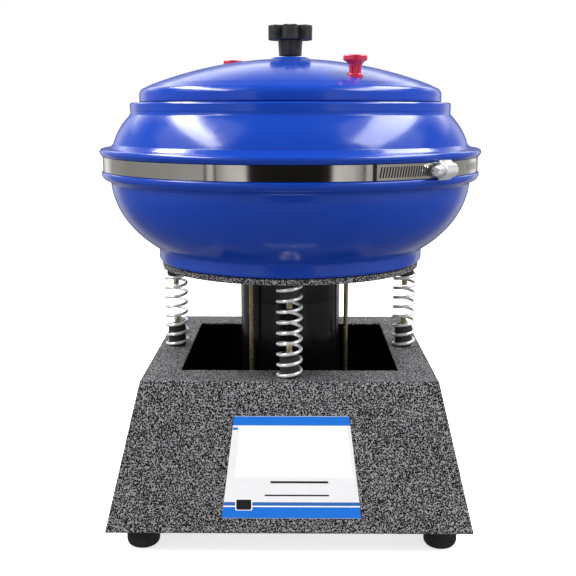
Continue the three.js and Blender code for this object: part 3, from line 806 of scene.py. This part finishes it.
# ---- bowl ----
BAND_LOW, BAND_HIGH = bottom_of("clamp_band"), top_of("clamp_band")
BOWL_LOW, BEAD_TOP = bottom_of("bowl_lower"), top_of("bowl_upper")
CONE_TOP = top_of("bowl_lower")
SEAM_LOW, SEAM_HIGH = 167.4, 168.6  # the two shells' meeting faces
NECK = 163.0  # outer radius of both shells under the clamp band
BOWL_FOOT = 117.5  # outer radius of the lower shell's foot
ROUND_STEPS = 216


def bowl_bottom():
    """The lower shell, from its underside up the outside, over the seam and down inside."""
    middle, waist = 48.6, 156  # centre of the wall's curve
    bore, cap = 4, 21
    section = [
        (44, BOWL_LOW),
        (114, BOWL_LOW),
        (116.5, BOWL_LOW + 1),
        (BOWL_FOOT, BOWL_LOW + 2.6),
        (BOWL_FOOT, BOWL_LOW + 11),
        *arc(middle, waist, 109.3, 80, -50, -3, 28),
        *arc(158.4, BAND_LOW - 2, 7, 6.5, -80, 0, 8),
        (165.4, BAND_LOW - 1.2),
        (164.4, BAND_LOW - 0.3),
        (NECK, BAND_LOW - 0.3),
        (NECK, SEAM_LOW),
        (151.9, SEAM_LOW),
        *arc(middle, waist, 103.3, 65, -2, -80, 24),
        *arc(62, 107, 18, 16, -90, -150, 8),
        *arc(80, CONE_TOP - 14, 56, 80, 195, 180, 4),
        (cap + 3, CONE_TOP - 3),
        (cap, CONE_TOP),
        (bore, CONE_TOP),
        (bore, CONE_TOP - 6),
        (cap - 3, CONE_TOP - 6),
    ]
    bowl = on_deck("bowl_bottom", section, look_of(blue_plastic), ease=0.8, steps=ROUND_STEPS)
    put(bowl, "platform", "blue_plastic", "bowl_lower")


def bowl_top():
    """The upper shell: a lip over the clamp band, a sloping wall and a stepped bead."""
    middle, waist = 87.2, 170  # centre of the wall's curve
    bead, mouth = 139.8, 118
    section = [
        (NECK, SEAM_HIGH),
        (NECK, BAND_HIGH + 0.3),
        (164.9, BAND_HIGH + 0.3),
        *arc(163.9, 178.2, 3, 2.8, -40, 80, 8),
        (158.6, 181.6),
        *arc(middle, waist, 70, 60, 14, 41, 18),
        (bead - 0.4, 211.6),
        (bead, 212.2),
        (bead, BEAD_TOP - 1.2),
        (bead - 1.2, BEAD_TOP),
        (mouth, BEAD_TOP),
        (mouth, BEAD_TOP - 9),
        *arc(middle, waist, 64, 52, 45, 4, 16),
        (151.2, SEAM_HIGH),
    ]
    ring = on_deck("bowl_top", section, look_of(blue_plastic), ease=0.7, steps=ROUND_STEPS)
    put(ring, "platform", "blue_plastic", "bowl_upper")


bowl_bottom()
bowl_top()
in_seam = tube(154, 162, SEAM_LOW + 0.1, SEAM_HIGH - 0.1)
gasket = on_deck("bowl_seal", in_seam, look_of(rubber), ease=0.3)
put(gasket, "platform", "black_rubber", "bowl_gasket")

# ---- clamp band with its slotted tail, housing and screw ----
BAND_INNER, BAND_OUTER = 163.3, 164.1
TAIL_INNER, TAIL_OUTER = 164.15, 164.85
BAND_MIDDLE = (BAND_LOW + BAND_HIGH) / 2
# bearings in degrees, from the front towards the right
TAIL_ENDS, SHADOW_ENDS, END_SHADOW_ENDS, EMBOSS_ENDS = (23, 52.5), (23.3, 42), (22.2, 22.95), (61, 70)
SLOTS_START, SLOTS_END, SLOT_PITCH = 24.2, 41.5, 0.86
SLOT = (1.25, 3, 8.2)  # width, depth of the cut, length
SLOT_SLANT = 12  # degrees off upright
CLAMP_SEAT, CLAMP_BEARING = 165.2, 45  # radius and bearing that the clamp is measured from
SCREW_OUT = 5.4  # from that radius out to the screw's axis


def strap(name, radii, heights, bearings, look, steps=64, edge=0.25):
    """A strip bent round the bowl; bearings run from the front towards the right."""
    (inner, outer), (low, high), (start, end) = radii, heights, bearings
    section = [
        (inner, low),
        (outer - edge, low),
        (outer, low + edge),
        (outer, high - edge),
        (outer - edge, high),
        (inner, high),
    ]
    data = bmesh.new()
    closed = end - start >= 360
    rings = []
    for i in range(steps if closed else steps + 1):
        bearing = math.radians(start + (end - start) * i / steps)
        x, y = MM * math.sin(bearing), -MM * math.cos(bearing)
        rings.append([data.verts.new((r * x, r * y, DECK + z * MM)) for r, z in section])
    for first, second in zip(rings, rings[1:] + (rings[:1] if closed else [])):
        for j in range(len(section)):
            k = (j + 1) % len(section)
            data.faces.new((first[j], first[k], second[k], second[j]))
    if not closed:
        data.faces.new(rings[0])
        data.faces.new(rings[-1])
    return mesh_object(name, data, look, 40)


def around_middle(half):
    return BAND_MIDDLE - half, BAND_MIDDLE + half


def clamp_strap():
    """The band, its slotted tail, a near-black strip of painted shadow under the slots, another of painted
    shadow at the tail's end, and a plain emboss.
    """
    whole, steel, dark = (BAND_LOW, BAND_HIGH), look_of(stainless), look_of(dark_inside_and_shadow)
    band = strap("clamp_strap", (BAND_INNER, BAND_OUTER), whole, (0, 360), steel, 256)
    put(band, "platform", "stainless", "clamp_band")
    tail = strap("clamp_strap_tail", (TAIL_INNER, TAIL_OUTER), whole, TAIL_ENDS, steel, 60)
    on_tail = Matrix.Translation((0, -(TAIL_INNER + TAIL_OUTER) / 2 * MM, DECK + BAND_MIDDLE * MM))
    slant = Matrix.Rotation(math.radians(SLOT_SLANT), 4, "Y")
    slots = []
    bearing = SLOTS_START
    while bearing < SLOTS_END:
        turn = Matrix.Rotation(math.radians(bearing), 4, "Z")
        slots.append(slab("slot", 0, 0, 0, *SLOT, dark, turn @ on_tail @ slant))
        bearing += SLOT_PITCH
    put(carved(tail, slots), "platform", "stainless")
    # painted shadow: a near-black strip behind the slots stands in for the shade seen through them
    under = BAND_OUTER + 0.01
    shadow = (under, TAIL_INNER + 0.01)
    inlay = strap("clamp_tail_shadow", shadow, around_middle(4.4), SHADOW_ENDS, dark, 40, 0.01)
    put(inlay, "platform", "stainless")
    # painted shadow: a short near-black strip at the tail's end stands in for the shade along its edge
    short = (BAND_LOW + 0.3, BAND_HIGH - 0.3)
    mark = strap("clamp_tail_end_shadow", (under, 165.1), short, END_SHADOW_ENDS, dark, 3)
    put(mark, "platform", "stainless")
    raised = (BAND_OUTER - 0.05, BAND_OUTER + 0.1)
    plain = look_of(plain_steel)
    emboss = strap("clamp_strap_emboss", raised, around_middle(2.8), EMBOSS_ENDS, plain, 20, 0.05)
    put(emboss, "platform", "stainless")


clamp_strap()

# in the clamp's own frame x runs along the band to the right, -y points out and z up
ON_BAND = Matrix.Translation((0, -CLAMP_SEAT * MM, DECK + BAND_MIDDLE * MM))
CLAMP = Matrix.Rotation(math.radians(CLAMP_BEARING), 4, "Z") @ ON_BAND


def along_band(out=0.0):
    """Turns an upright piece so that its length lies along the band."""
    return CLAMP @ Matrix(((0, 0, 1, 0), (0, -1, 0, -out * MM), (1, 0, 0, 0), (0, 0, 0, 1)))


def clamp_housing():
    """An arched saddle with a flange along each side and a bore for the screw."""
    neck, flange, flange_low, flange_high, arch = 5.4, 7.6, 2.7, 3.6, 5.6
    hood = [
        (-neck, 0.4),
        (neck, 0.4),
        (neck, flange_low),
        (flange, flange_low),
        (flange, flange_high),
        *arc(0, SCREW_OUT, arch, arch, 0, 180, 16),
        (-flange, flange_high),
        (-flange, flange_low),
        (-neck, flange_low),
    ]
    body = prism("clamp_saddle", hood, -7.5, 7.5, look_of(chrome), along_band())
    circle = arc(0, SCREW_OUT, 4.2, 4.2, 0, 345, 23)
    bore = prism("bore", circle, -20, 20, look_of(chrome), along_band())
    put(softened(carved(body, [bore]), 0.6, 3, 30), "platform", "stainless", "clamp_housing")


def clamp_screw():
    """Slotted hex head, collar and worm on one axis along the band."""
    axis, metal = along_band(SCREW_OUT), look_of(chrome)
    head_end, collar_end, worm_start, worm_end = -14.9, -9.95, -8.7, 6.5
    head = prism("clamp_screw_head", arc(0, 0, 4.04, 4.04, 0, 300, 5), head_end, -9.9, metal, axis)
    head = carved(head, [slab("drive", 0, 0, head_end + 0.3, 1.2, 9, 2.4, metal, axis)])
    put(softened(head, 0.5, 3, 30), "worm", "stainless", "clamp_screw")
    circle = arc(0, 0, 4.7, 4.7, 0, 350, 35)
    collar = prism("clamp_screw_collar", circle, collar_end, worm_start, metal, axis, 0.3)
    put(collar, "worm", "stainless")
    crest, depth, points = 3.7, 0.5, 60
    pitch = (worm_end - worm_start) / (points - 1)
    ridges = [(crest - depth * (i % 2), worm_start + pitch * i) for i in range(points)]
    section = [(0, worm_start), *ridges, (0, worm_end)]
    worm = lathe("clamp_worm", section, metal, closed=False, ease=0.05, steps=32)
    worm.data.transform(axis)
    put(worm, "worm", "stainless")


clamp_housing()
clamp_screw()

# ---- lid with its vent holes ----
RIM, BOSS_TOP = BEAD_TOP + 0.4, top_of("lid")
CROWN, APEX = 341.0, BOSS_TOP - 1.2  # radius of the dome's curve and height of its top
LID_WALL, VENT = 4.0, 6.4  # the wall's thickness, the radius of a vent hole


def crown(r, drop=0.0):
    """Height of the dome, or of a dome that lies lower by a drop."""
    return APEX - CROWN + math.sqrt((CROWN - drop) ** 2 - r * r)


def crowned(start, end, steps, drop=0.0):
    radii = (start + (end - start) * i / steps for i in range(steps + 1))
    return [(r, crown(r, drop)) for r in radii]


def domed_lid(vent_places):
    """A dome with a rolled shoulder, a spigot in the bowl's mouth and a flat boss."""
    inside, spigot, seat, rim = 114.4, 117, 128.6, 131.6
    boss_low = crown(0, LID_WALL) - 14
    section = [
        (inside, RIM - 8),
        (spigot, RIM - 8),
        (spigot, RIM + 1.3),
        (seat, RIM + 1.3),
        (seat, RIM),
        (rim, RIM),
        *arc(rim - 8, RIM + 6.4, 8, 6.4, 0, 70, 10),
        *crowned(121, 17.5, 30),
        (15.5, BOSS_TOP),
        (4, BOSS_TOP),
        (4, boss_low),
        (13, boss_low),
        *crowned(13, inside, 20, LID_WALL),
    ]
    lid = on_deck("domed_lid", section, look_of(blue_plastic), ease=1.0, steps=ROUND_STEPS)
    below, above = 200, 275
    outline = [(0, below), (VENT, below), (VENT, above), (0, above)]
    options = {"closed": False, "ease": 0.01, "steps": 40}
    vents = [on_deck("vent", outline, look_of(blue_plastic), at=at, **options) for at in vent_places]
    put(carved(lid, vents), "lid", "blue_plastic", "lid")


def fluted(count, depth, low, high):
    """Radius rule for flutes between two heights."""

    def shape(angle, r, z):
        if r < 2 or not low <= z <= high:
            return r
        return r - depth * max(0.0, math.cos(count * angle)) ** 6

    return shape


def vent_stopper(place, at):
    """A turned plug: a tapered tip in the lid, a fluted waist and a flared head."""
    tip, head = bottom_of(f"vent_plug_{place}"), top_of(f"vent_plug_{place}")
    shoulder, waist = tip + 13.4, tip + 17.5
    stem, body, grip = 4.9, 5.8, 9.4
    section = [
        (0, tip),
        (stem, tip),
        (body, tip + 3),
        (body, tip + 9),
        (6.1, tip + 12.6),
        (stem, shoulder),
        (stem, waist - 1.5),
        (stem, waist),
        *arc(stem + 4.1, waist, 4.1, 5.4, 180, 110, 8),
        (grip, waist + 5.9),
        (grip, head - 0.8),
        (grip - 0.6, head),
        (0, head),
    ]
    flutes = fluted(6, 1.3, shoulder, waist + 1.5)
    options = {"closed": False, "ease": 0.4, "steps": 96, "at": at, "shape": flutes}
    plug = on_deck(f"vent_stopper_{place}", section, look_of(red_anodised), **options)
    put(plug, f"plug_{place}", "red_anodised", f"vent_plug_{place}")


plug_places = {place: tuple(centre(f"vent_plug_{place}")[:2]) for place in ("front", "back")}
domed_lid(plug_places.values())
low, high = bottom_of("lid_gasket"), top_of("lid_gasket")
seal = on_deck("lid_seal", tube(118.5, 128, low, high), look_of(rubber), ease=0.3)
put(seal, "lid", "black_rubber", "lid_gasket")
for place, at in plug_places.items():
    vent_stopper(place, at)


# ---- centre rod, nut, insert and star knob ----
def centre_stud():
    tip, head, radius = bottom_of("centre_rod"), top_of("centre_rod"), 3
    section = [(0, tip), (radius, tip), (radius, head - 1), (radius - 0.7, head), (0, head)]
    thread = look_of(plain_steel, "thread_steel", 0.55)
    rod = on_deck("centre_stud", section, thread, closed=False, ease=0.2, steps=40)
    put(rod, "platform", "plain_steel", "centre_rod")


centre_stud()
dress("bowl_washer", look_of(plain_steel), 0.2)
dress("bowl_nut", look_of(plain_steel), 0.3)
dress("knob_insert", look_of(yellow_zinc), 0.2)

# half of one arm of the star knob, from its tip's middle to the valley: radius and bearing
ARM = ((18.6, 0), (19.2, 1.6), (19.9, 4), (19.9, 13), (19.5, 17), (17.8, 20.5), (13.9, 25))
VALLEY = (13.2, 30)
KNOB_ARMS, KNOB_HEAD = 6, 12  # number of arms, height of the head


def star_knob():
    """A six-armed head on a slightly lobed hub."""
    low, high = bottom_of("star_knob"), top_of("star_knob")
    valley, bearing = VALLEY
    before = [(valley, -bearing), *((r, -away) for r, away in reversed(ARM))]
    outline = []
    for i in range(KNOB_ARMS):
        middle = -90 + i * 360 / KNOB_ARMS
        for r, away in (*before, *ARM[1:]):
            angle = math.radians(middle + away)
            outline.append((r * math.cos(angle), r * math.sin(angle)))
    lift = Matrix.Translation((0, 0, DECK))
    head = prism("star_knob_head", outline, high - KNOB_HEAD, high, look_of(black_plastic), lift, 0, 40)
    bore, joint = 5.3, high - KNOB_HEAD - 0.02
    hub = on_deck(
        "star_knob_hub",
        [(bore, low), (9.8, low), (10.7, joint), (bore, joint)],
        look_of(black_plastic),
        ease=0.6,
        steps=96,
        shape=lambda angle, r, z: r * (1 - 0.035 * abs(math.sin(4 * angle))) if r > 8 else r,
    )
    put(softened(head, 0.8, 3, 40), "knob", "black_plastic", "star_knob")
    put(hub, "knob", "black_plastic")


star_knob()

# ---- floor ----
floor_data = bmesh.new()
bmesh.ops.create_grid(floor_data, x_segments=1, y_segments=1, size=60)
floor = mesh_object("studio_floor", floor_data, look_of(floor_paper))
floor.visible_diffuse = False
floor.visible_glossy = False


# ---- lamps ----
def lamp(name, kind, **settings):
    data = bpy.data.lights.new(name, kind)
    for key, value in settings.items():
        setattr(data, key, value)
    light = bpy.data.objects.new(name, data)
    bpy.context.scene.collection.objects.link(light)
    return light


def aimed(light, position, aim, along=(1, 0, 0)):
    """Points a lamp, with its long side as near as can be to one direction."""
    out = (Vector(position) - Vector(aim)).normalized()
    side = Vector(along)
    side = (side - out * side.dot(out)).normalized()
    light.matrix_world = Matrix((side, out.cross(side), out)).transposed().to_4x4()
    light.location = position


def strip(name, position, width, power):
    """A long lamp overhead, rising towards the back."""
    light = lamp(name, "AREA", shape="RECTANGLE", size=2.1, size_y=width, energy=power)
    rising = (0, 2.0, 0.65)
    aimed(light, position, (0, 0, 0.3), rising)


def low_lamp(name, position, aim, length, power, along=(1, 0, 0)):
    """A lamp near the floor that lights the base and leaves no highlight."""
    light = lamp(name, "AREA", shape="RECTANGLE", size=length, size_y=0.3, energy=power)
    aimed(light, position, aim, along)
    light.visible_glossy = False


strip("strip_left_near", (-0.95, 0.0, 1.32), 0.24, 24)
strip("strip_left_far", (-1.15, 0.1, 1.8), 0.16, 14)
strip("strip_right", (1.0, 0.0, 1.43), 0.5, 32)
low_lamp("low_fill", (0, -1.35, 0.12), (0, 0, 0.25), 1.6, 3.0)
for side in (-1, 1):
    low_lamp(f"low_side_{side}", (side * 0.95, -0.4, 0.1), (0, 0, 0.28), 1.2, 5.0, (0, 1, 0))
for side in (-1, 1):
    fill = lamp(f"side_fill_{side}", "SUN", energy=0.62, angle=math.radians(50))
    aimed(fill, (side * 1.5, -0.35, 1.6), (0, 0, 0.2))

# ---- surroundings: only lighting and reflections see them, the camera sees plain white ----
world = bpy.data.worlds.new("studio")
bpy.context.scene.world = world
world.use_nodes = True
sky = world.node_tree


def sky_node(kind, **inputs):
    made = sky.nodes.new(kind)
    for key, value in inputs.items():
        socket = made.inputs[key.replace("_", " ")]
        if isinstance(value, bpy.types.NodeSocket):
            sky.links.new(value, socket)
        else:
            socket.default_value = value
    return made


def sky_math(operation, *sources):
    made = sky_node("ShaderNodeMath")
    made.operation = operation
    for index, source in enumerate(sources):
        sky.links.new(source, made.inputs[index])
    return made.outputs[0]


def sky_ramp(source, stops):
    """A brightness for each place along a value, blended in between."""
    made = sky_node("ShaderNodeValToRGB", Fac=source)
    for _ in stops[2:]:
        made.color_ramp.elements.new(0.5)
    for mark, (place, level) in zip(made.color_ramp.elements, stops):
        mark.position = place
        mark.color = (level, level, level, 1)
    return made.outputs["Color"]


def sky_share(source, start, end, first, last):
    """A share that changes evenly while a direction's part goes from start to end."""
    limits = {"From_Min": start, "From_Max": end, "To_Min": first, "To_Max": last}
    return sky_node("ShaderNodeMapRange", Value=source, **limits).outputs["Result"]


# brightness by the direction's front-to-back part, from -1 in front to 1 behind; the narrow
# dark gaps in front are seen as dark lines where they are reflected
ROUND_ABOUT = (
    (-0.915, 0.012),
    (-0.9, 0.74),
    (-0.8, 0.6),
    (-0.76, 0.4),
    (-0.735, 0.36),
    (-0.73, 0.03),
    (-0.715, 0.03),
    (-0.71, 0.6),
    (-0.66, 0.6),
    (-0.655, 0.03),
    (-0.64, 0.03),
    (-0.635, 0.42),
    (-0.35, 0.36),
    (0.36, 0.31),
    (0.7, 0.42),
    (0.8, 0.95),
    (0.88, 0.9),
    (0.93, 0.2),
)
# a bright patch at the back, by the direction's upward part
BACK_GLOW = ((0.29, 0.0), (0.35, 2.2), (0.42, 1.2), (0.58, 0.0))

direction = sky_node("ShaderNodeTexCoord").outputs["Generated"]
split = sky_node("ShaderNodeSeparateXYZ", Vector=direction)
backward, upward = split.outputs["Y"], split.outputs["Z"]
halfway = sky_share(backward, -1.0, 1.0, 0.0, 1.0)
around = sky_ramp(halfway, [((y + 1) / 2, level) for y, level in ROUND_ABOUT])
around = sky_math("MULTIPLY", around, sky_share(upward, 0.24, 0.46, 1.0, 0.25))
around = sky_math("MULTIPLY", around, sky_share(upward, -0.4, -0.1, 0.5, 1.0))
at_back = sky_share(backward, 0.5, 0.85, 0.0, 1.0)
around = sky_math("MULTIPLY_ADD", at_back, sky_ramp(upward, BACK_GLOW), around)
seen = sky_node("ShaderNodeLightPath").outputs["Is Camera Ray"]
strength = sky_node("ShaderNodeMix", Factor=seen, A=around, B=1.0)
background = sky.nodes["Background"]
sky.links.new(strength.outputs["Result"], background.inputs["Strength"])
background.inputs["Color"].default_value = (1, 1, 1, 1)
bpy.context.scene.view_settings.view_transform = "Standard"

# ---- camera ----
camera_data = bpy.data.cameras.new("camera")
camera_data.lens = 58.1
camera_data.sensor_width = 36
camera = bpy.data.objects.new("camera", camera_data)
bpy.context.scene.collection.objects.link(camera)
camera.location = (0.00515, -0.8366, DECK + 0.21345)  # fitted to the photo, as are the angles
pitch_down, yaw_left = 10.85, 0.49
camera.rotation_euler = (math.radians(90 - pitch_down), 0, math.radians(yaw_left))
bpy.context.scene.camera = camera
